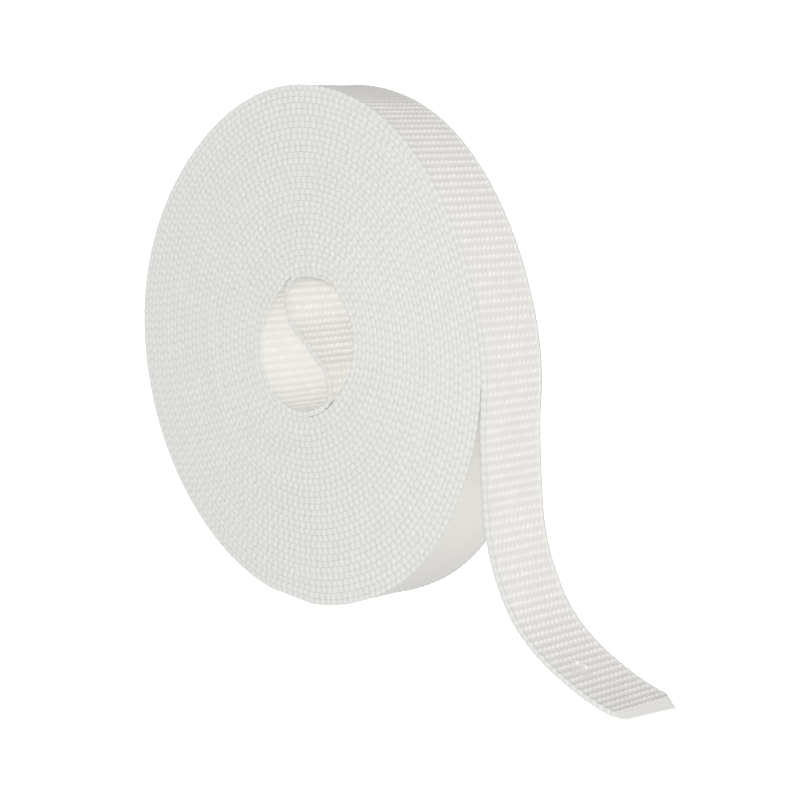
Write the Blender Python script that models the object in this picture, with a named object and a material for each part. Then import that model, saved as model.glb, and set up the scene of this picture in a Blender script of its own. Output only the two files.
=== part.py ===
"""Roll of roller shutter strap: a flat woven strap wound into a disc that stands on its rim.

Metres, +Z up. The winding's axis runs along Y through (0, 0, AXIS_HEIGHT), the two flat sides of the disc
lie at Y = -STRAP_WIDTH / 2 (front) and +STRAP_WIDTH / 2 (back), and the surface it stands on is Z = 0.
Seen from the front, the strap runs clockwise from the hole to the rim. Its outer end leaves the rim on the
right and sweeps down and out to the surface. Its inner end crosses the hole in an S.
Angles are in degrees, anticlockwise from +X as seen from the front.
"""
import math

import bmesh
import bpy
from mathutils import Vector

# The strap
STRAP_WIDTH = 0.0140
STRAP_THICKNESS = 0.0011
TURN_PITCH = 0.00111          # one thickness and the slack that winding leaves
PIECE_GAP = 0.0003            # between the wound body and each free end
SELVEDGE_ROUND = 0.0003       # rounding of the strap's long edges

# The wound body
AXIS_HEIGHT = 0.04705         # a little under the radius there, which leaves a small flat to stand on
RIM_RADIUS = 0.04662          # of the turn below the outer end, where that end leaves
RIM_STEP_ANGLE = -4.0         # where the outer end leaves the rim
RIM_LIFT = 0.0003             # how far the outer turn has risen by then
LIFT_SPAN = 30.0              # degrees over which a turn rises before its step
RIM_SEGMENTS = 180

# Flats and swells of a roll wound by hand: centre angle, half-width in degrees, height in metres
RIM_LOBES = (
    (30.0, 45.0, -0.00148),
    (85.0, 45.0, 0.00010),
    (135.0, 45.0, -0.00103),
    (180.0, 45.0, -0.00010),
    (222.0, 45.0, -0.00048),
    (268.0, 45.0, 0.00027),
    (295.0, 45.0, 0.00062),
    (316.0, 26.0, 0.00060),
)

# The hole, slightly oval, which lies a little to one side of the winding's axis
HOLE_CENTRE_X = 0.0018
HOLE_CENTRE_Z = 0.0005        # above the axis
HOLE_RADIUS = 0.0119          # mean, of the innermost turn's inner side where that turn begins
HOLE_OVAL = 0.00083
HOLE_OVAL_ANGLE = 45.0        # of the oval's long direction
HOLE_STEP_ANGLE = -60.0       # where the innermost turn begins
HOLE_SEGMENTS = 90

# The inner free end lies against the innermost turn, which gives way to it between two angles about the hole
BED_DEPTH = STRAP_THICKNESS + 1.6 * PIECE_GAP
BED_RISE = (50.0, 64.0)
BED_FALL = (112.0, 136.0)

# Outer free end: distance along it in metres, heading in degrees
OUTER_END_BENDS = (
    (0.0000, -90.0),
    (0.0040, -84.0),
    (0.0090, -83.0),
    (0.0180, -79.5),
    (0.0250, -66.5),
    (0.0320, -55.5),
    (0.0390, -37.0),
    (0.0460, -23.5),
    (0.0530, -17.0),
    (0.0590, -8.0),
    (0.0612, 0.0),
    (0.0638, 0.0),
)
OUTER_END_STEP = 0.0010
CUT_CORNER_LENGTH = 0.0038    # the far corner of the tip is cut off
CUT_CORNER_WIDTH = 0.0030
TIP_SLANT = 0.0020            # how much further along a whole tip would reach on its far edge

# Inner free end, from the wall at the bottom to the bed at the top: distance along it, heading
INNER_END_BENDS = (
    (0.0000, 32.0),
    (0.0010, 54.0),
    (0.0030, 101.5),
    (0.0050, 109.5),
    (0.0075, 134.0),
    (0.0100, 150.0),
    (0.0125, 138.0),
    (0.0155, 147.0),
    (0.0180, 143.5),
    (0.0205, 119.5),
    (0.0230, 101.5),
    (0.0255, 79.5),
    (0.0270, 56.0),
    (0.0285, 34.5),
    (0.0300, 17.5),
    (0.0365, -9.5),
    (0.0385, -18.0),
)
INNER_END_STEP = 0.0007

STRAP_COLOUR = (0.79, 0.77, 0.72, 1.0)
STRAP_ROUGHNESS = 0.72
SHARP_ANGLE = math.radians(40.0)


def clear_scene():
    for old in list(bpy.data.objects):
        bpy.data.objects.remove(old, do_unlink=True)


def strap_material():
    material = bpy.data.materials.new("woven_strap")
    material.use_nodes = True
    shader = material.node_tree.nodes["Principled BSDF"]
    shader.inputs["Base Color"].default_value = STRAP_COLOUR
    shader.inputs["Roughness"].default_value = STRAP_ROUGHNESS
    shader.inputs["Metallic"].default_value = 0.0
    return material


def eased(share):
    share = min(max(share, 0.0), 1.0)
    return share * share * (3.0 - 2.0 * share)


def lobe_height(angle):
    """How far the rim stands out of round at an angle."""
    height = 0.0
    for centre, half_width, peak in RIM_LOBES:
        away = abs((angle - centre + 180.0) % 360.0 - 180.0)
        if away < half_width:
            height += peak * 0.5 * (1.0 + math.cos(math.pi * away / half_width))
    return height


def spiral_radius(start_radius, turned):
    """Radius of a wound surface so many degrees past its step, with the rise before the next step."""
    rise = RIM_LIFT * eased((turned - 360.0 + LIFT_SPAN) / LIFT_SPAN)
    return start_radius + TURN_PITCH * turned / 360.0 + rise


def about_axis(radius, angle):
    turn = math.radians(angle)
    return Vector((radius * math.cos(turn), AXIS_HEIGHT + radius * math.sin(turn)))


def about_hole(radius, angle):
    return about_axis(radius, angle) + Vector((HOLE_CENTRE_X, HOLE_CENTRE_Z))


def rim_point(turned):
    angle = RIM_STEP_ANGLE - turned
    return about_axis(spiral_radius(RIM_RADIUS, turned) + lobe_height(angle), angle)


def rim_outline():
    """Clockwise points of the rim, one turn from step to step, cut level at the surface it stands on."""
    round_points = [rim_point(360.0 * index / RIM_SEGMENTS) for index in range(RIM_SEGMENTS + 1)]
    points = []
    for point, after in zip(round_points, round_points[1:]):
        if point.y >= 0.0:
            points.append(point)
        if (point.y >= 0.0) != (after.y >= 0.0):
            points.append(point.lerp(after, point.y / (point.y - after.y)))
    points.append(round_points[-1])
    return points


def bed_depth(angle):
    """How far the innermost turn gives way to the inner free end that lies against it."""
    angle = angle % 360.0
    rise = eased((angle - BED_RISE[0]) / (BED_RISE[1] - BED_RISE[0]))
    fall = eased((angle - BED_FALL[0]) / (BED_FALL[1] - BED_FALL[0]))
    return BED_DEPTH * (rise - fall)


def hole_radius(angle, turned):
    oval = HOLE_OVAL * math.cos(math.radians(2.0 * (angle - HOLE_OVAL_ANGLE)))
    return spiral_radius(HOLE_RADIUS, turned) + oval + bed_depth(angle)


def hole_outline():
    """Clockwise points of the innermost turn's inner side, from step to step."""
    points = []
    for index in range(HOLE_SEGMENTS + 1):
        turned = 360.0 * index / HOLE_SEGMENTS
        angle = HOLE_STEP_ANGLE - turned
        points.append(about_hole(hole_radius(angle, turned), angle))
    return points


def add_loop(mesh, outline, depth):
    corners = [mesh.verts.new((point.x, depth, point.y)) for point in outline]
    for index, corner in enumerate(corners):
        mesh.edges.new((corner, corners[(index + 1) % len(corners)]))


def finished_object(name, mesh, material):
    bmesh.ops.recalc_face_normals(mesh, faces=mesh.faces)
    data = bpy.data.meshes.new(name)
    mesh.to_mesh(data)
    mesh.free()
    data.shade_smooth()
    data.set_sharp_from_angle(angle=SHARP_ANGLE)
    data.materials.append(material)
    piece = bpy.data.objects.new(name, data)
    bpy.context.scene.collection.objects.link(piece)
    return piece


def build_roll(material):
    mesh = bmesh.new()
    add_loop(mesh, rim_outline(), -STRAP_WIDTH / 2)
    add_loop(mesh, hole_outline(), -STRAP_WIDTH / 2)
    side = bmesh.ops.triangle_fill(mesh, edges=mesh.edges, use_beauty=True)
    faces = [item for item in side["geom"] if isinstance(item, bmesh.types.BMFace)]
    far = bmesh.ops.extrude_face_region(mesh, geom=faces, use_keep_orig=True)
    moved = [item for item in far["geom"] if isinstance(item, bmesh.types.BMVert)]
    bmesh.ops.translate(mesh, verts=moved, vec=(0.0, STRAP_WIDTH, 0.0))
    roll = finished_object("strap_roll", mesh, material)
    rounding = roll.modifiers.new("selvedge", "BEVEL")
    rounding.width = SELVEDGE_ROUND
    rounding.segments = 1
    rounding.limit_method = "ANGLE"
    rounding.angle_limit = math.radians(60.0)
    return roll


def heading_at(bends, along):
    for (start, first), (end, second) in zip(bends, bends[1:]):
        if along <= end:
            return first + (second - first) * (along - start) / (end - start)
    return bends[-1][1]


def walk(bends, start, spacing):
    """Points and headings of a free end's middle line, from its table of bends."""
    length = bends[-1][0]
    count = round(length / spacing)
    step = length / count
    place = start.copy()
    stations = [(0.0, place.copy(), heading_at(bends, 0.0))]
    for index in range(count):
        middle = math.radians(heading_at(bends, (index + 0.5) * step))
        place += Vector((math.cos(middle), math.sin(middle))) * step
        along = (index + 1) * step
        stations.append((along, place.copy(), heading_at(bends, along)))
    return stations


def section(place, heading, cut):
    """Eight corners of the strap's cross-section, its long edges rounded and its far corner cut so far."""
    turn = math.radians(heading)
    across = Vector((-math.sin(turn), math.cos(turn)))
    half = STRAP_THICKNESS / 2
    round_off = SELVEDGE_ROUND
    front_side = -STRAP_WIDTH / 2
    back_side = STRAP_WIDTH / 2 - CUT_CORNER_WIDTH * cut
    profile = (
        (front_side + round_off, -half),
        (back_side - round_off, -half),
        (back_side, round_off - half),
        (back_side, half - round_off),
        (back_side - round_off, half),
        (front_side + round_off, half),
        (front_side, half - round_off),
        (front_side, round_off - half),
    )
    corners = []
    for depth, height in profile:
        spot = place + across * height
        slant = TIP_SLANT * cut * depth / STRAP_WIDTH
        corners.append((spot.x + slant, depth, spot.y))
    return corners


def build_free_end(name, stations, cut_corner, material):
    mesh = bmesh.new()
    length = stations[-1][0]
    rings = []
    for along, place, heading in stations:
        cut = max(0.0, 1.0 - (length - along) / CUT_CORNER_LENGTH) if cut_corner else 0.0
        corners = section(place, heading, cut)
        rings.append([mesh.verts.new(corner) for corner in corners])
    for near, far in zip(rings, rings[1:]):
        for index in range(len(near)):
            after = (index + 1) % len(near)
            mesh.faces.new((near[index], near[after], far[after], far[index]))
    mesh.faces.new(rings[0])
    mesh.faces.new(rings[-1])
    return finished_object(name, mesh, material)


def build_outer_end(material):
    """The loose end past the step in the rim, its underside level with the surface at the tip."""
    below = spiral_radius(RIM_RADIUS, 0.0) + lobe_height(RIM_STEP_ANGLE)
    radius = below + PIECE_GAP + STRAP_THICKNESS / 2
    gap_angle = math.degrees(PIECE_GAP / radius)
    stations = walk(OUTER_END_BENDS, about_axis(radius, RIM_STEP_ANGLE - gap_angle), OUTER_END_STEP)
    # The last reach lies on the surface, so the height error of the walk is shared out along the end
    error = stations[-1][1].y - STRAP_THICKNESS / 2
    length = stations[-1][0]
    for along, place, _ in stations:
        place.y -= error * eased(along / length)
    return build_free_end("outer_end", stations, True, material)


def build_inner_end(material):
    """The strip that crosses the hole, from the beginning of the innermost turn."""
    radius = hole_radius(HOLE_STEP_ANGLE, 0.0) + STRAP_THICKNESS / 2
    gap_angle = math.degrees(PIECE_GAP / radius)
    stations = walk(INNER_END_BENDS, about_hole(radius, HOLE_STEP_ANGLE + gap_angle), INNER_END_STEP)
    return build_free_end("inner_end", stations, False, material)


def main():
    clear_scene()
    material = strap_material()
    build_roll(material)
    build_outer_end(material)
    build_inner_end(material)


main()
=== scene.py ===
"""The looks of a roll of roller shutter strap: one continuous woven band, wound, with both ends free.

Metres, +Z up, in the row frame. The winding's axis runs along Y, the front side of the roll faces -Y,
and angles are in degrees, anticlockwise from +X as seen from the front. The strap is followed from its
inner tip, across the hole, clockwise through every turn of the winding and out along the free end that
lies on the floor.
"""
import math

import bmesh
import bpy
import numpy as np
from mathutils import Matrix, Vector


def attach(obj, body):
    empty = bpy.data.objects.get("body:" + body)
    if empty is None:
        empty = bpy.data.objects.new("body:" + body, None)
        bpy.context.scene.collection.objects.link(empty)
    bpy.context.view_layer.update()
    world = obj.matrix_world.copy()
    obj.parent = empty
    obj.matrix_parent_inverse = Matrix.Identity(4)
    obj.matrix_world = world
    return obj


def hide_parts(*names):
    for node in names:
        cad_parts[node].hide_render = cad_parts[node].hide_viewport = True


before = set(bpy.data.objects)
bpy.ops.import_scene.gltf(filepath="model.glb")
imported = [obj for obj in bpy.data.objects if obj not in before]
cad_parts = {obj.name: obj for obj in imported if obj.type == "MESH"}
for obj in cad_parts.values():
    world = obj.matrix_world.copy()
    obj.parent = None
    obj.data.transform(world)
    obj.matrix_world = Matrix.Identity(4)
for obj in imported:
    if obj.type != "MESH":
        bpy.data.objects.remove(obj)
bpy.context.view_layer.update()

# The strap
STRAP_WIDTH = 0.0140
HALF_WIDTH = STRAP_WIDTH / 2
HALF_THICKNESS = 0.00055
RIB_PITCH = 0.001555          # one rib to the next along the strap
YARNS_ACROSS = 12             # bumps in one rib

# The winding
AXIS_HEIGHT = 0.04705
RIM_RADIUS = 0.04662          # outer side of the turn below the outer end, where that end leaves
RIM_STEP_ANGLE = -4.0
PIECE_GAP = 0.0003            # between the winding and each free end
LIFT_SPAN = 30.0              # degrees over which the last turn rises to clear the one below
RIM_LOBES = (                 # flats and swells: centre angle, half-width in degrees, height
    (30.0, 45.0, -0.00148),
    (85.0, 45.0, 0.00010),
    (135.0, 45.0, -0.00103),
    (180.0, 45.0, -0.00010),
    (222.0, 45.0, -0.00048),
    (268.0, 45.0, 0.00027),
    (295.0, 45.0, 0.00062),
    (316.0, 26.0, 0.00060),
)
HOLE_CENTRE_X = 0.0018
HOLE_CENTRE_Z = 0.0005        # above the axis
HOLE_RADIUS = 0.0119
HOLE_OVAL = 0.00083
HOLE_OVAL_ANGLE = 45.0
HOLE_STEP_ANGLE = -60.0       # where the innermost turn begins
BED_DEPTH = 0.00090           # the innermost turn gives way to the inner end that lies against it
BED_RISE = (50.0, 64.0)       # angles where it begins to give way, and where it has done so
BED_FALL = (112.0, 136.0)
FULL_TURN = 360.0
HALF_TURN = 180.0
TURN_STEP = 0.5               # degrees from one worked-out point to the next
WHOLE_TURNS = 30
TURNED_IN_ALL = WHOLE_TURNS * FULL_TURN + (HOLE_STEP_ANGLE - RIM_STEP_ANGLE) % FULL_TURN
TURNED_TO_RIM = TURNED_IN_ALL - FULL_TURN
INNER_RADIUS = HOLE_RADIUS + HALF_THICKNESS
TURN_PITCH = (RIM_RADIUS - HALF_THICKNESS - INNER_RADIUS) / (TURNED_TO_RIM / FULL_TURN)
END_LIFT = 2 * HALF_THICKNESS + PIECE_GAP - TURN_PITCH
FILL_LIMIT = 0.00063          # most that a turn swells from its middle line to fill the room it has
PRESS_REACH = 0.006           # how far up the turns give way over the small flat on the floor

# Free ends: distance along in metres, heading in degrees
OUTER_END_BENDS = (
    (0.0000, -90.0),
    (0.0040, -84.0),
    (0.0090, -83.0),
    (0.0180, -79.5),
    (0.0250, -66.5),
    (0.0320, -55.5),
    (0.0390, -37.0),
    (0.0460, -23.5),
    (0.0530, -17.0),
    (0.0590, -8.0),
    (0.0612, 0.0),
    (0.0638, 0.0),
)
INNER_END_BENDS = (
    (0.0000, 32.0),
    (0.0010, 54.0),
    (0.0030, 101.5),
    (0.0050, 109.5),
    (0.0075, 134.0),
    (0.0100, 150.0),
    (0.0125, 138.0),
    (0.0155, 147.0),
    (0.0180, 143.5),
    (0.0205, 119.5),
    (0.0230, 101.5),
    (0.0255, 79.5),
    (0.0270, 56.0),
    (0.0285, 34.5),
    (0.0300, 17.5),
    (0.0365, -9.5),
    (0.0385, -18.0),
)
WALK_STEP = 0.0001

# Relief of the weave's face
RIB_DEPTH = 0.00026           # groove between two ribs
RIB_SHARPNESS = 2.4           # over 1, crests are narrow and grooves broad
CREST_UNEVEN = 0.1            # share by which one rib's crest may be lower than another's
YARN_DEPTH = 0.00025          # between two bumps of a rib
YARN_SLANT = 1.3              # bumps that a yarn drifts sideways in one rib
YARN_WANDER = 0.25            # bumps by which one rib is out of step with the next
BUMP_BREADTH = 0.7            # under 1, bumps are broad and the gaps between them narrow
BUMP_LEAST = 0.7              # depth between bumps varies from this share
BUMP_SPREAD = 0.6             # by this much
RIB_MARGIN = 0.0005           # edge where the bumps run out
MARGIN_PLAIN = 0.4            # share of that edge with no bump left
MARGIN_LEVEL = 0.5            # height of that edge between ribs, from groove to crest
MARGIN_CREST = 0.4            # how much more of a rib goes on to it

# Painted highlight on the ribs of the face and painted shade in their grooves, as shares of full
# brightness
STRIPE_SHARPNESS = 1.2        # as for a rib
# Painted highlight on one flank of each rib
STRIPE_SHARE = 0.55           # along the lower side of each rib
STRIPE_FROM = 0.44            # place in a rib where that side begins
STRIPE_RISE = 0.16
BUMP_TONE_LEAST = 0.55
MARGIN_TONE = 0.35
PRESSED_TONE = 0.05           # where the weave is pressed flat
# Painted light: the melted tips are painted to full brightness
SEALED_TONE = 1.0             # where it is melted
# Painted light: the inner side is painted lighter, which brightens the inside of the hole
INNER_TONE = 0.27             # least share on the strap's inner side

# The selvedge
EDGE_ROUND = 0.00007          # how far it rounds in
CELL_DEPTH = 0.00012          # groove between two weft loops
CELL_BREADTH = 0.8            # as for a bump
LOOP_UNEVEN = 0.00005         # how far one loop stands out or in
CORNER_FADE = 0.5             # power by which the loops fade towards a corner that shows
# Painted shade towards the corners, where neighbouring turns meet
TONE_FADE = 0.15              # the same for their brightness
LOOP_TONE_LEAST = 0.75
# Painted shade on the selvedge and end of the melted tips
SEALED_EDGE_TONE = 0.5
# Painted shade on the selvedge of the free ends
LONE_EDGE_TONE = 0.85         # brightness on the free ends, beside that between turns
DRIFT_WAVES = (               # how turns stand proud or back: wave length / 2 pi, share, phase a side
    (0.0213, 1.0, 1.0),
    (0.0571, 0.7, 2.0),
    (0.1307, 0.8, 3.0),
)
DRIFT_DEPTH = 0.00002
DRIFT_FADE = 0.05
BACK_PROUD = 0.0006           # how far the innermost turns stand proud of the back

# The tips
SEALED_LENGTH = 0.0029        # the melted, smooth end of each tip
SEAL_FADE = 0.3 * RIB_PITCH
SEALED_DEPTH = 0.9 * RIB_DEPTH
TIP_TAPER = 0.00030           # how much thinner the melted end gets
CUT_CORNER_LENGTH = 0.0038
CUT_CORNER_WIDTH = 0.0030
TIP_SLANT = 0.0020
FRONT_CORNER_ROUND = 0.0006

# Two knots in the yarn of the outer end and a smooth dent below them: distance from tip, across, radius
KNOTS = (
    (0.0171, -0.0011, 0.0006),
    (0.0158, -0.0004, 0.0006),
)
KNOT_RISE = 0.00022
DENTS = (
    (0.0153, -0.0031, 0.0011),
    (0.0141, -0.0019, 0.0010),
)
DENT_SHARE = 0.85

# How finely the mesh follows it: places in one rib, groove to groove
PLAIN_RIB_STEPS = (0.0, 0.13, 0.38, 0.62, 0.87)
FINE_RIB_STEPS = (0.0, 0.20, 0.34, 0.45, 0.55, 0.66, 0.80)
LEAST_STEP = 0.02             # of a rib, from the end of a stretch
ROUNDING = 1e-6               # of a rib, below which a place counts as a whole rib
FACE_OVERLAP = 3              # ribs with a finely made face beyond the place where it stops showing
EDGE_ANGLES = np.radians((90.0, 58.0, 27.0, 0.0, -27.0, -58.0, -90.0))
EDGE_RISE = np.sin(EDGE_ANGLES)[None, :]
EDGE_REACH = np.cos(EDGE_ANGLES)[None, :]
FACE_STEPS = 56               # across a wide face that shows
HASH_WEIGHTS = (12.9898, 78.233, 37.719)
HASH_SCALE = 43758.5453
FRONT = -1.0                  # the strap's two selvedges
BACK = 1.0
OUTER = 0.0                   # and its two faces
INNER = 1.0


def eased(share):
    share = np.clip(share, 0.0, 1.0)
    return share * share * (3.0 - 2.0 * share)


def hashed(*numbers):
    """A repeatable random number from 0 to 1 for each set of whole numbers."""
    total = 0.0
    for weight, number in zip(HASH_WEIGHTS, numbers):
        total = total + weight * np.asarray(number, float)
    value = np.sin(total) * HASH_SCALE
    return value - np.floor(value)


# The middle line of the strap, in the X-Z plane
def lobe_height(angle):
    """How far the flats and swells move the rim in or out."""
    height = np.zeros_like(angle)
    for centre, half_width, peak in RIM_LOBES:
        away = np.abs((angle - centre + HALF_TURN) % FULL_TURN - HALF_TURN)
        near = away < half_width
        height += np.where(near, peak * 0.5 * (1.0 + np.cos(math.pi * away / half_width)), 0.0)
    return height


def bed_depth(angle):
    """How far the innermost turn gives way to the inner end."""
    angle = angle % FULL_TURN
    rise = eased((angle - BED_RISE[0]) / (BED_RISE[1] - BED_RISE[0]))
    fall = eased((angle - BED_FALL[0]) / (BED_FALL[1] - BED_FALL[0]))
    return BED_DEPTH * (rise - fall)


def winding_points(turned):
    """Where the middle line is after it has turned so many degrees from the inner step."""
    angle = HOLE_STEP_ANGLE - turned
    out = np.clip(turned / TURNED_TO_RIM, 0.0, 1.0)
    radius = INNER_RADIUS + TURN_PITCH * turned / FULL_TURN
    oval = HOLE_OVAL * np.cos(np.radians(2.0 * (angle - HOLE_OVAL_ANGLE)))
    radius = radius + (1.0 - out) * (oval + bed_depth(angle))
    radius = radius + out * out * lobe_height(angle)
    radius = radius + END_LIFT * eased((turned - TURNED_IN_ALL + LIFT_SPAN) / LIFT_SPAN)
    ray = np.stack((np.cos(np.radians(angle)), np.sin(np.radians(angle))), axis=1)
    height = AXIS_HEIGHT + (1.0 - out) * HOLE_CENTRE_Z
    centre = np.stack(((1.0 - out) * HOLE_CENTRE_X, height), axis=1)
    return centre + radius[:, None] * ray, ray


def room_outside(turned):
    """Distance from the middle line to that of the next turn out."""
    here, ray = winding_points(turned)
    return ((winding_points(turned + FULL_TURN)[0] - here) * ray).sum(axis=1)


def walk(bends, start):
    """Points of a free end's middle line, from its table of bends."""
    lengths, headings = zip(*bends)
    along = np.arange(0.5, lengths[-1] / WALK_STEP) * WALK_STEP
    heading = np.radians(np.interp(along, lengths, headings))
    steps = WALK_STEP * np.stack((np.cos(heading), np.sin(heading)), axis=1)
    return start + np.vstack((np.zeros(2), np.cumsum(steps, axis=0)))


def strap_line():
    """The whole middle line, its half-thickness on either side, and how far along its main places are."""
    turned = np.arange(0.0, TURNED_IN_ALL, TURN_STEP)
    wound, _ = winding_points(turned)
    outward = np.minimum(0.5 * room_outside(turned), FILL_LIMIT)
    inward = np.minimum(0.5 * room_outside(turned - FULL_TURN), FILL_LIMIT)
    outward[turned > TURNED_TO_RIM] = HALF_THICKNESS
    inward[turned < FULL_TURN] = HALF_THICKNESS
    step_back = math.degrees(PIECE_GAP / INNER_RADIUS)
    step_on = math.degrees(PIECE_GAP / RIM_RADIUS)
    start, _ = winding_points(np.array([-step_back]))
    last, _ = winding_points(np.array([TURNED_IN_ALL + step_on]))
    leaving = walk(OUTER_END_BENDS, last[0])
    # The last reach lies on the floor, so the height error of the walk is shared out along the end
    error = leaving[-1, 1] - HALF_THICKNESS
    leaving[:, 1] -= error * eased(np.linspace(0.0, 1.0, len(leaving)))
    crossing = walk(INNER_END_BENDS, start[0])[::-1]
    line = np.vstack((crossing, wound, leaving))
    pad_in = np.full(len(crossing), HALF_THICKNESS)
    pad_out = np.full(len(leaving), HALF_THICKNESS)
    above = np.concatenate((pad_in, outward, pad_out))
    below = np.concatenate((pad_in, inward, pad_out))
    along = np.concatenate(([0.0], np.cumsum(np.linalg.norm(np.diff(line, axis=0), axis=1))))
    first = len(crossing)
    after = first + len(wound)
    first_turn_ends, rim_begins = np.interp((FULL_TURN, TURNED_TO_RIM), turned, along[first:after])
    return line, along, above, below, along[first], first_turn_ends, rim_begins, along[after]


LINE, ALONG, ABOVE, BELOW, WINDING_BEGINS, FIRST_TURN_ENDS, RIM_BEGINS, WINDING_ENDS = strap_line()
STRAP_LENGTH = ALONG[-1]
NORMAL_REACH = 0.0004         # along the strap, to either side of a place, for its direction


def at(places):
    """Middle line, outward normal and half-thickness above and below at distances along the strap."""
    def spot(s):
        return np.stack((np.interp(s, ALONG, LINE[:, 0]), np.interp(s, ALONG, LINE[:, 1])), axis=1)

    ahead = spot(np.minimum(places + NORMAL_REACH, STRAP_LENGTH))
    ahead = ahead - spot(np.maximum(places - NORMAL_REACH, 0.0))
    ahead /= np.linalg.norm(ahead, axis=1)[:, None]
    normal = np.stack((-ahead[:, 1], ahead[:, 0]), axis=1)
    return spot(places), normal, np.interp(places, ALONG, ABOVE), np.interp(places, ALONG, BELOW)


# Where the ribs are pressed flat: from, to, and by what share
PRESSED = (
    (-0.010, 0.0135, 0.80),
    (RIM_BEGINS - 0.006, RIM_BEGINS + 0.084, 0.88),
    (RIM_BEGINS + 0.205, RIM_BEGINS + 0.232, 0.60),
)
PRESS_FADE = 0.005


# The weave
def sealed(places):
    """1 on the melted tips, 0 on the weave."""
    from_tip = np.minimum(places, STRAP_LENGTH - places)
    return 1.0 - eased((from_tip - SEALED_LENGTH) / SEAL_FADE + 0.5)


def pressed(places):
    """From 0 on the full weave to 1 where nothing of its ribs is left."""
    share = sealed(places)
    for start, end, most in PRESSED:
        within = eased((places - start) / PRESS_FADE) * eased((end - places) / PRESS_FADE)
        share = np.maximum(share, most * within)
    return share


def tip_sink(places):
    """How far the melted outer tip thins towards its end."""
    return TIP_TAPER * eased(1.0 - (STRAP_LENGTH - places) / SEALED_LENGTH)


def spots_near(marks, places, across):
    """From 0 to 1 at the middle of each mark, for a column of places and a row of distances across."""
    share = np.zeros((len(places), len(across)))
    for from_tip, off, radius in marks:
        away = (STRAP_LENGTH - places[:, None] - from_tip) ** 2 + (across[None, :] - off) ** 2
        share = np.maximum(share, np.exp(-away / (radius * radius)))
    return share


def rib_height(phase, sharpness=RIB_SHARPNESS):
    """0 in the grooves to 1 on the crests."""
    return (0.5 - 0.5 * np.cos(2.0 * math.pi * phase)) ** sharpness


def margin_level(phase):
    """Height of the face's edge, from groove to crest."""
    return MARGIN_LEVEL + MARGIN_CREST * rib_height(phase)


def face_relief(places, across, face):
    """Depth under the ribs' crests and share of painted highlight, for places along and distances across.
    """
    ribs = places[:, None] / RIB_PITCH
    index = np.floor(ribs)
    phase = ribs - index
    middle = eased((HALF_WIDTH - np.abs(across))[None, :] / RIB_MARGIN - MARGIN_PLAIN)
    crest = rib_height(phase) * (1.0 - CREST_UNEVEN + CREST_UNEVEN * hashed(index, face))
    yarn = across[None, :] / (2.0 * (HALF_WIDTH - RIB_MARGIN)) * YARNS_ACROSS
    yarn = yarn + 0.5 * (index % 2.0) + YARN_SLANT * (phase - 0.5)
    yarn = yarn + YARN_WANDER * (hashed(index, face, 3.0) - 0.5)
    bump = np.abs(np.sin(math.pi * yarn)) ** BUMP_BREADTH
    strength = BUMP_LEAST + BUMP_SPREAD * hashed(index, np.floor(yarn), face)
    sink = RIB_DEPTH * (1.0 - crest * middle - margin_level(phase) * (1.0 - middle))
    sink = sink + YARN_DEPTH * middle * crest * (1.0 - bump) * strength
    # Painted highlight on one flank of each rib and on each bump, with painted shade in the grooves
    stripe = STRIPE_SHARE * eased((phase - STRIPE_FROM) / STRIPE_RISE)
    tone = BUMP_TONE_LEAST + (1.0 - BUMP_TONE_LEAST) * hashed(index, np.floor(yarn), face + 5.0)
    bright = np.maximum(bump * tone, stripe)
    bright = bright * rib_height(phase, STRIPE_SHARPNESS) * (MARGIN_TONE + (1.0 - MARGIN_TONE) * middle)
    flat = pressed(places)[:, None]
    if face == OUTER:
        flat = np.maximum(flat, DENT_SHARE * spots_near(DENTS, places, across))
        knot = spots_near(KNOTS, places, across)
        sink = sink - KNOT_RISE * knot
        bright = np.maximum(bright, knot)
    sink = sink * (1.0 - flat) + SEALED_DEPTH * flat
    # The inner side is painted lighter as painted light inside the hole
    if face == INNER:
        bright = INNER_TONE + (1.0 - INNER_TONE) * bright
    else:
        sink = sink + tip_sink(places)[:, None]
    # The melted tips are painted bright as painted light
    melt = sealed(places)[:, None]
    return sink, bright * (1.0 - flat) + PRESSED_TONE * (flat - melt) + SEALED_TONE * melt


def cell_height(phase):
    """0 between two loops of the selvedge to 1 on a loop."""
    return np.abs(np.sin(math.pi * phase)) ** CELL_BREADTH


def drift(places, side):
    """How far a turn stands proud of its neighbours on one side, as a hand leaves them."""
    wave = sum(share * np.sin(places / length + turn * side) for length, share, turn in DRIFT_WAVES)
    return DRIFT_DEPTH * wave * np.clip((WINDING_ENDS - places) / DRIFT_FADE, 0.0, 1.0)


def tip_share(places):
    """From 0 where the slanted tip begins to 1 at its end."""
    return np.clip(1.0 - (STRAP_LENGTH - places) / CUT_CORNER_LENGTH, 0.0, 1.0)


def half_width(places, side):
    """Distance from the middle to the selvedge, with the tip's corners."""
    width = np.full(len(places), HALF_WIDTH)
    to_tip = STRAP_LENGTH - places
    if side == BACK:
        width -= CUT_CORNER_WIDTH * tip_share(places)
        width += BACK_PROUD * eased(2.0 - places / FIRST_TURN_ENDS)
    else:
        corner = np.clip(1.0 - to_tip / FRONT_CORNER_ROUND, 0.0, 1.0)
        width -= FRONT_CORNER_ROUND * (1.0 - np.sqrt(1.0 - corner * corner))
    return width


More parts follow.
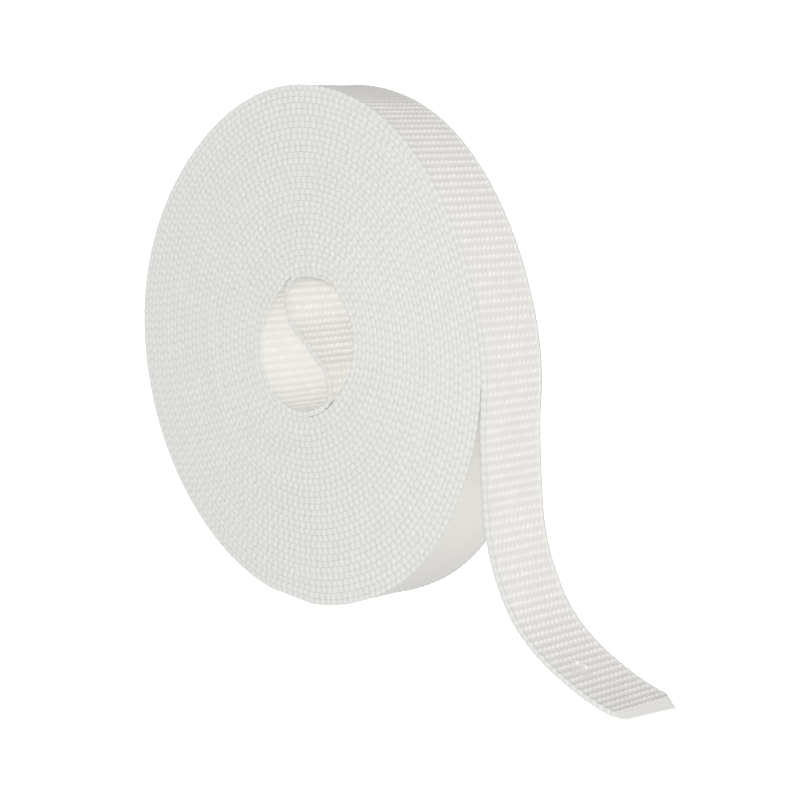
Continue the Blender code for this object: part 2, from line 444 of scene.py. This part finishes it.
def edge_points(places, above, below, side, outer_face, inner_face):
    """Offsets along the normal and across, for the rounded selvedge from its outer to its inner side.

    Ribs run over the corners of the faces that show.
    """
    ribs = places / RIB_PITCH
    index = np.floor(ribs)
    phase = ribs - index
    plain = sealed(places)
    cell = cell_height(phase) * (1.0 - plain) + plain
    shows = np.where(EDGE_RISE > 0.0, outer_face, inner_face)
    relief = np.where(shows, EDGE_REACH ** CORNER_FADE, 1.0)
    groove = RIB_DEPTH * (1.0 - margin_level(phase)) * (1.0 - plain) + SEALED_DEPTH * plain
    reach = np.where(EDGE_RISE > 0.0, (above - tip_sink(places))[:, None], below[:, None])
    outward = EDGE_RISE * (reach - shows * groove[:, None])
    proud = LOOP_UNEVEN * (2.0 * hashed(index, 7.0 + side) - 1.0) * cell
    away = EDGE_ROUND * (1.0 - EDGE_REACH) + (CELL_DEPTH * (1.0 - cell) - proud)[:, None] * relief
    away = away + drift(places, side)[:, None]
    across = side * (half_width(places, side)[:, None] - np.maximum(away, 0.0))
    return outward, across


def edge_tone(places, side, alone):
    """Painted shade on the selvedge: brightness from 0 in the grooves to 1 on the loops, fading towards
    the corners where turns meet, and less on the free ends.
    """
    plain = sealed(places)
    ribs = places / RIB_PITCH
    tone = LOOP_TONE_LEAST + (1.0 - LOOP_TONE_LEAST) * hashed(np.floor(ribs), 11.0 + side)
    tone = cell_height(ribs) * tone * (1.0 - plain) + SEALED_EDGE_TONE * plain
    # The free ends' selvedge is painted darker as painted shade
    if alone:
        tone = LONE_EDGE_TONE * tone
    return tone[:, None] * EDGE_REACH ** TONE_FADE


def ring_places(first, last, steps):
    """Distances along the strap from one rib's groove to another's, or to a tip."""
    start = math.floor(first + ROUNDING)
    count = math.ceil(last - ROUNDING) - start
    ribs = float(start) + np.arange(count)[:, None] + np.array(steps)[None, :]
    ribs = ribs.ravel()
    ribs = ribs[(ribs > first + LEAST_STEP) & (ribs < last - LEAST_STEP)]
    return np.concatenate(([first], ribs, [last])) * RIB_PITCH


def strap_piece(name, first, last, steps, outer_face, inner_face, material):
    """A stretch of the strap between two places counted in ribs, with relief on the faces that show."""
    places = ring_places(first, last, steps)
    middle, normal, above, below = at(places)
    alone = outer_face and inner_face
    front_out, front_across = edge_points(places, above, below, FRONT, outer_face, inner_face)
    back_out, back_across = edge_points(places, above, below, BACK, outer_face, inner_face)
    flat_width = np.linspace(-1.0, 1.0, FACE_STEPS + 1)[1:-1] * (HALF_WIDTH - EDGE_ROUND)
    front_width = half_width(places, FRONT)[:, None]
    back_width = half_width(places, BACK)[:, None]
    face_across = flat_width * 0.5 * (back_width + front_width) / HALF_WIDTH
    face_across = face_across + 0.5 * (back_width - front_width)
    out = [front_out]
    across = [front_across]
    tone = [edge_tone(places, FRONT, alone)]
    woven_edge = [np.ones_like(front_out)]
    if inner_face:
        sink, bright = face_relief(places, flat_width, INNER)
        tone.append(bright)
        woven_edge.append(np.zeros_like(sink))
        out.append(sink - below[:, None])
        across.append(face_across)
    tone.append(edge_tone(places, BACK, alone)[:, ::-1])
    woven_edge.append(np.ones_like(back_out))
    out.append(back_out[:, ::-1])
    across.append(back_across[:, ::-1])
    if outer_face:
        sink, bright = face_relief(places, flat_width[::-1], OUTER)
        tone.append(bright)
        woven_edge.append(np.zeros_like(sink))
        out.append(above[:, None] - sink)
        across.append(face_across[:, ::-1])
    out = np.hstack(out)
    across = np.hstack(across)
    spots = np.empty(out.shape + (3,))
    slant = TIP_SLANT / STRAP_WIDTH * tip_share(places)[:, None] * across
    spots[..., 0] = middle[:, None, 0] + normal[:, None, 0] * out + slant
    spots[..., 1] = across
    spots[..., 2] = middle[:, None, 1] + normal[:, None, 1] * out
    press_down(spots)
    # The crest mark carries painted highlight on crests and loops and painted shade in the grooves
    marks = {"crest": np.hstack(tone), "selvedge": np.hstack(woven_edge)}
    return ring_mesh(name, spots, places, across, marks, material)


def rest_depth():
    """How far the round rim would reach below the floor, by X, as a table for interpolation."""
    turned = np.arange(TURNED_TO_RIM, TURNED_IN_ALL, TURN_STEP)
    points, ray = winding_points(turned)
    outside = points + HALF_THICKNESS * ray
    low = outside[outside[:, 1] < 0.0]
    order = np.argsort(low[:, 0])
    return low[order, 0], -low[order, 1]


FLAT_X, FLAT_DEPTH = rest_depth()


def press_down(spots):
    """The lowest turns give way, so that the roll stands on a small flat."""
    depth = np.interp(spots[..., 0], FLAT_X, FLAT_DEPTH, left=0.0, right=0.0)
    spots[..., 2] += depth * eased(1.0 - spots[..., 2] / PRESS_REACH)
    spots[..., 2] = np.maximum(spots[..., 2], 0.0)


def ring_mesh(name, spots, places, across, marks, material):
    """A closed tube of rings, with its length along the strap and across it kept as a UV map in metres."""
    rings, around = spots.shape[:2]
    index = np.arange(rings * around).reshape(rings, around)
    near = index[:-1]
    far = index[1:]
    quads = (near, far, np.roll(far, -1, axis=1), np.roll(near, -1, axis=1))
    quads = np.stack(quads, axis=-1).reshape(-1, 4)
    caps = (index[0], index[-1][::-1])
    corners = np.concatenate((quads.ravel(), caps[0], caps[1])).astype(np.int32)
    sizes = np.concatenate((np.full(len(quads), 4), (around, around))).astype(np.int32)
    starts = np.concatenate(([0], np.cumsum(sizes)[:-1])).astype(np.int32)
    mesh = bpy.data.meshes.new(name)
    mesh.vertices.add(rings * around)
    mesh.vertices.foreach_set("co", spots.reshape(-1).astype(np.float32))
    mesh.loops.add(len(corners))
    mesh.loops.foreach_set("vertex_index", corners)
    mesh.polygons.add(len(sizes))
    mesh.polygons.foreach_set("loop_start", starts)
    mesh.update(calc_edges=True)
    layer = mesh.uv_layers.new(name="strap")
    grid = np.stack((np.broadcast_to(places[:, None], across.shape), across), axis=-1).reshape(-1, 2)
    layer.uv.foreach_set("vector", grid[corners].astype(np.float32).ravel())
    for mark, values in marks.items():
        layer = mesh.attributes.new(mark, "FLOAT", "POINT")
        layer.data.foreach_set("value", np.clip(values, 0.0, 1.0).astype(np.float32).ravel())
    # The two end caps keep out of the shading of the weave beside them
    smooth = np.ones(len(sizes), bool)
    smooth[-2:] = False
    mesh.polygons.foreach_set("use_smooth", smooth)
    pairs = np.empty(2 * len(mesh.edges), np.int32)
    mesh.edges.foreach_get("vertices", pairs)
    ring = pairs.reshape(-1, 2) // around
    at_end = (ring[:, 0] == ring[:, 1]) & ((ring[:, 0] == 0) | (ring[:, 0] == rings - 1))
    mesh.attributes.new("sharp_edge", "BOOLEAN", "EDGE").data.foreach_set("value", at_end)
    mesh.validate()
    mesh.materials.append(material)
    piece = bpy.data.objects.new(name, mesh)
    bpy.context.scene.collection.objects.link(piece)
    return piece


def node(tree, kind, **values):
    """A new shader node with some of its settings."""
    made = tree.nodes.new(kind)
    for key, value in values.items():
        setattr(made, key, value)
    return made


def mixed(tree, share, low, high):
    """The output of a colour mix, from two colours or two other outputs."""
    mix = node(tree, "ShaderNodeMix", data_type="RGBA")
    tree.links.new(share, mix.inputs["Factor"])
    for socket, value in ((mix.inputs[6], low), (mix.inputs[7], high)):
        if isinstance(value, tuple):
            socket.default_value = value
        else:
            tree.links.new(value, socket)
    return mix.outputs[2]


def settings(made, **values):
    """Sets a node's inputs, whose names are given with underscores for spaces."""
    for key, value in values.items():
        made.inputs[key.replace("_", " ")].default_value = value


# The weave's plain colour, which is also the painted shade in the grooves, up to the painted highlight on
# the crests
GROUND_COLOUR = (0.80, 0.785, 0.75, 1.0)
PAINTED_HIGHLIGHT_COLOUR = (0.985, 0.97, 0.935, 1.0)
# Selvedge colours: painted shade in the grooves between loops, and a greyer white overall as painted shade
# on the roll's front and back
EDGE_GROOVE_SHADE_COLOUR = (0.73, 0.73, 0.705, 1.0)
EDGE_LOOP_COLOUR = (0.825, 0.825, 0.805, 1.0)
STRAP_ROUGHNESS = 0.65
STRAP_SPECULAR = 0.25
FIBRES_PER_METRE = (700.0, 9000.0, 1.0)
FIBRE_DETAIL = 3.0
FIBRE_RELIEF = 0.35
FIBRE_DEPTH = 0.00005
TONES_PER_METRE = (60.0, 220.0, 1.0)
TONE_DETAIL = 4.0
TONE_NOISE = (0.3, 0.7)
TONE_SCALE = (0.975, 1.0)


def strap_material():
    material = bpy.data.materials.new("woven_strap")
    material.use_nodes = True
    tree = material.node_tree
    shader = tree.nodes["Principled BSDF"]
    settings(shader, Roughness=STRAP_ROUGHNESS, Specular_IOR_Level=STRAP_SPECULAR)
    where = node(tree, "ShaderNodeUVMap", uv_map="strap")
    # Filaments run along the strap, much longer than they are wide
    stretch = node(tree, "ShaderNodeMapping")
    settings(stretch, Scale=FIBRES_PER_METRE)
    fibres = node(tree, "ShaderNodeTexNoise")
    settings(fibres, Scale=1.0, Detail=FIBRE_DETAIL)
    tree.links.new(where.outputs["UV"], stretch.inputs["Vector"])
    tree.links.new(stretch.outputs["Vector"], fibres.inputs["Vector"])
    bump = node(tree, "ShaderNodeBump")
    settings(bump, Strength=FIBRE_RELIEF, Distance=FIBRE_DEPTH)
    tree.links.new(fibres.outputs["Fac"], bump.inputs["Height"])
    tree.links.new(bump.outputs["Normal"], shader.inputs["Normal"])
    # Painted highlight and shade: the ribs' crests are painted creamier than their grooves, and the
    # selvedge is painted a greyer white as shade on the roll's sides
    crest = node(tree, "ShaderNodeAttribute", attribute_name="crest")
    selvedge = node(tree, "ShaderNodeAttribute", attribute_name="selvedge")
    face = mixed(tree, crest.outputs["Fac"], GROUND_COLOUR, PAINTED_HIGHLIGHT_COLOUR)
    edge = mixed(tree, crest.outputs["Fac"], EDGE_GROOVE_SHADE_COLOUR, EDGE_LOOP_COLOUR)
    weave = mixed(tree, selvedge.outputs["Fac"], face, edge)
    # Yarn from several cones, so the white drifts a little from place to place
    slow = node(tree, "ShaderNodeMapping")
    settings(slow, Scale=TONES_PER_METRE)
    tone = node(tree, "ShaderNodeTexNoise")
    settings(tone, Scale=1.0, Detail=TONE_DETAIL)
    drift_range = node(tree, "ShaderNodeMapRange")
    settings(drift_range, From_Min=TONE_NOISE[0], From_Max=TONE_NOISE[1])
    settings(drift_range, To_Min=TONE_SCALE[0], To_Max=TONE_SCALE[1])
    shade = node(tree, "ShaderNodeVectorMath", operation="SCALE")
    tree.links.new(where.outputs["UV"], slow.inputs["Vector"])
    tree.links.new(slow.outputs["Vector"], tone.inputs["Vector"])
    tree.links.new(tone.outputs["Fac"], drift_range.inputs["Value"])
    tree.links.new(weave, shade.inputs[0])
    tree.links.new(drift_range.outputs["Result"], shade.inputs["Scale"])
    tree.links.new(shade.outputs["Vector"], shader.inputs["Base Color"])
    return material


def dress(piece, cad_node):
    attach(piece, "root")
    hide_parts(cad_node)


def build_strap():
    """The strap in seven stretches, each from the end of the one before, that meet between two ribs."""
    material = strap_material()
    crossing = round(WINDING_BEGINS / RIB_PITCH)
    first_turn = round(FIRST_TURN_ENDS / RIB_PITCH) + FACE_OVERLAP
    rim = round(RIM_BEGINS / RIB_PITCH) - FACE_OVERLAP
    leaving = round(WINDING_ENDS / RIB_PITCH)
    tip = STRAP_LENGTH / RIB_PITCH
    third = (rim - first_turn) // 3
    # Name, last rib, places in a rib, whether the outer and the inner face show, how it is held, solid
    stretches = (
        ("inner_end_weave", crossing, FINE_RIB_STEPS, True, True, "folded", "inner_end"),
        ("innermost_turn", first_turn, FINE_RIB_STEPS, False, True, "folded", "strap_roll"),
        ("turns_by_the_hole", first_turn + third, PLAIN_RIB_STEPS, False, False, "folded", "strap_roll"),
        ("turns_between", first_turn + 2 * third, PLAIN_RIB_STEPS, False, False, "folded", "strap_roll"),
        ("turns_by_the_rim", rim, PLAIN_RIB_STEPS, False, False, "folded", "strap_roll"),
        ("outermost_turn", leaving, FINE_RIB_STEPS, True, False, "folded", "strap_roll"),
        ("outer_end_weave", tip, FINE_RIB_STEPS, True, True, "laid", "outer_end"),
    )
    first = 0.0
    for name, last, steps, outer_face, inner_face, held, cad_node in stretches:
        piece = strap_piece(name, first, last, steps, outer_face, inner_face, material)
        dress(piece, cad_node)
        first = last


# The studio
CAMERA_PLACE = Vector((0.27097, -0.24302, 0.11021))
CAMERA_RIGHT = Vector((0.68789, 0.72414, 0.04928))
CAMERA_UP = Vector((-0.17595, 0.10051, 0.97925))
CAMERA_AHEAD = Vector((-0.70417, 0.68229, -0.19656))
LENS = 89.89
SENSOR = 36.0
CLIP_START = 0.01


def build_camera():
    data = bpy.data.cameras.new("camera")
    data.lens = LENS
    data.sensor_width = SENSOR
    data.clip_start = CLIP_START
    camera = bpy.data.objects.new("camera", data)
    turn = Matrix((CAMERA_RIGHT, CAMERA_UP, -CAMERA_AHEAD)).transposed().to_4x4()
    camera.matrix_world = Matrix.Translation(CAMERA_PLACE) @ turn
    bpy.context.scene.collection.objects.link(camera)
    bpy.context.scene.camera = camera


FLOOR_COLOUR = (0.86, 0.86, 0.86, 1.0)
FLOOR_ROUGHNESS = 0.9
FLOOR_GLOW = 0.75
WHITE = (1.0, 1.0, 1.0, 1.0)
FLOOR_RADIUS = 1.2            # level floor, which then curves up into a wall all round
WALL_RADIUS = 2.0
WALL_HEIGHT = 2.5
CURVE_STEPS = 12
ROUND_STEPS = 96
MERGE_DISTANCE = 0.001


def build_floor():
    """A pale floor that runs up into a wall all round, with no corner to see."""
    rise = WALL_RADIUS - FLOOR_RADIUS
    profile = [(0.0, 0.0)]
    for index in range(CURVE_STEPS + 1):
        turn = 0.5 * math.pi * index / CURVE_STEPS
        profile.append((FLOOR_RADIUS + rise * math.sin(turn), rise * (1.0 - math.cos(turn))))
    profile.append((WALL_RADIUS, WALL_HEIGHT))
    mesh = bmesh.new()
    line = [mesh.verts.new((radius, 0.0, height)) for radius, height in profile]
    edges = [mesh.edges.new(pair) for pair in zip(line, line[1:])]
    around = {"cent": (0, 0, 0), "axis": (0, 0, 1), "angle": 2 * math.pi, "steps": ROUND_STEPS}
    bmesh.ops.spin(mesh, geom=line + edges, **around)
    bmesh.ops.remove_doubles(mesh, verts=mesh.verts, dist=MERGE_DISTANCE)
    bmesh.ops.recalc_face_normals(mesh, faces=mesh.faces)
    bmesh.ops.reverse_faces(mesh, faces=mesh.faces)
    data = bpy.data.meshes.new("floor")
    mesh.to_mesh(data)
    mesh.free()
    data.shade_smooth()
    material = bpy.data.materials.new("floor")
    material.use_nodes = True
    shader = material.node_tree.nodes["Principled BSDF"]
    settings(shader, Base_Color=FLOOR_COLOUR, Roughness=FLOOR_ROUGHNESS, Specular_IOR_Level=0.0)
    settings(shader, Emission_Color=WHITE, Emission_Strength=FLOOR_GLOW)
    data.materials.append(material)
    floor = bpy.data.objects.new("floor", data)
    bpy.context.scene.collection.objects.link(floor)
    # The light that reaches the strap is set by the lamp and the sky alone
    floor.visible_diffuse = False
    floor.visible_glossy = False
    floor.visible_shadow = False


KEY_PLACE = Vector((0.723, -0.744, 0.232))
KEY_TARGET = Vector((0.0, 0.0, AXIS_HEIGHT))
KEY_SIZE = 0.14
KEY_POWER = 6.8
SKY_ABOVE = 0.56
SKY_LEVEL = 0.45
SKY_BELOW = 0.62
BACK_GLOW = 0.75              # more light from the backdrop, low down and behind the roll
GLOW_FADES = (0.15, 0.55)     # between these heights of the light's direction


def grey(level):
    return (level, level, level, 1.0)


def build_key():
    data = bpy.data.lights.new("key", "AREA")
    data.shape = "DISK"
    data.size = KEY_SIZE
    data.energy = KEY_POWER
    light = bpy.data.objects.new("key", data)
    light.rotation_euler = (KEY_TARGET - KEY_PLACE).to_track_quat("-Z", "Y").to_euler()
    light.location = KEY_PLACE
    bpy.context.scene.collection.objects.link(light)


def build_sky():
    """Soft light from all round, with a glow from the backdrop behind the roll."""
    world = bpy.data.worlds.new("studio")
    world.use_nodes = True
    tree = world.node_tree
    sky = tree.nodes["Background"]
    where = node(tree, "ShaderNodeTexCoord")
    split = node(tree, "ShaderNodeSeparateXYZ")
    height = node(tree, "ShaderNodeMapRange")
    settings(height, From_Min=-1.0)
    ramp = node(tree, "ShaderNodeValToRGB")
    ramp.color_ramp.elements[0].color = grey(SKY_BELOW)
    ramp.color_ramp.elements[1].color = grey(SKY_ABOVE)
    ramp.color_ramp.elements.new(0.5).color = grey(SKY_LEVEL)
    tree.links.new(where.outputs["Generated"], split.inputs["Vector"])
    tree.links.new(split.outputs["Z"], height.inputs["Value"])
    tree.links.new(height.outputs["Result"], ramp.inputs["Fac"])
    away = node(tree, "ShaderNodeVectorMath", operation="DOT_PRODUCT")
    away.inputs[1].default_value = CAMERA_AHEAD
    behind = node(tree, "ShaderNodeMapRange", interpolation_type="SMOOTHSTEP")
    settings(behind, To_Max=BACK_GLOW)
    low = node(tree, "ShaderNodeMapRange", interpolation_type="SMOOTHSTEP")
    settings(low, From_Min=GLOW_FADES[0], From_Max=GLOW_FADES[1], To_Min=1.0, To_Max=0.0)
    glow = node(tree, "ShaderNodeMath", operation="MULTIPLY")
    both = node(tree, "ShaderNodeVectorMath", operation="ADD")
    tree.links.new(where.outputs["Generated"], away.inputs[0])
    tree.links.new(away.outputs["Value"], behind.inputs["Value"])
    tree.links.new(split.outputs["Z"], low.inputs["Value"])
    tree.links.new(behind.outputs["Result"], glow.inputs[0])
    tree.links.new(low.outputs["Result"], glow.inputs[1])
    tree.links.new(ramp.outputs["Color"], both.inputs[0])
    tree.links.new(glow.outputs["Value"], both.inputs[1])
    tree.links.new(both.outputs["Vector"], sky.inputs["Color"])
    bpy.context.scene.world = world


build_strap()
build_floor()
build_key()
build_sky()
build_camera()
bpy.context.scene.view_settings.view_transform = "Standard"

bpy.context.view_layer.update()
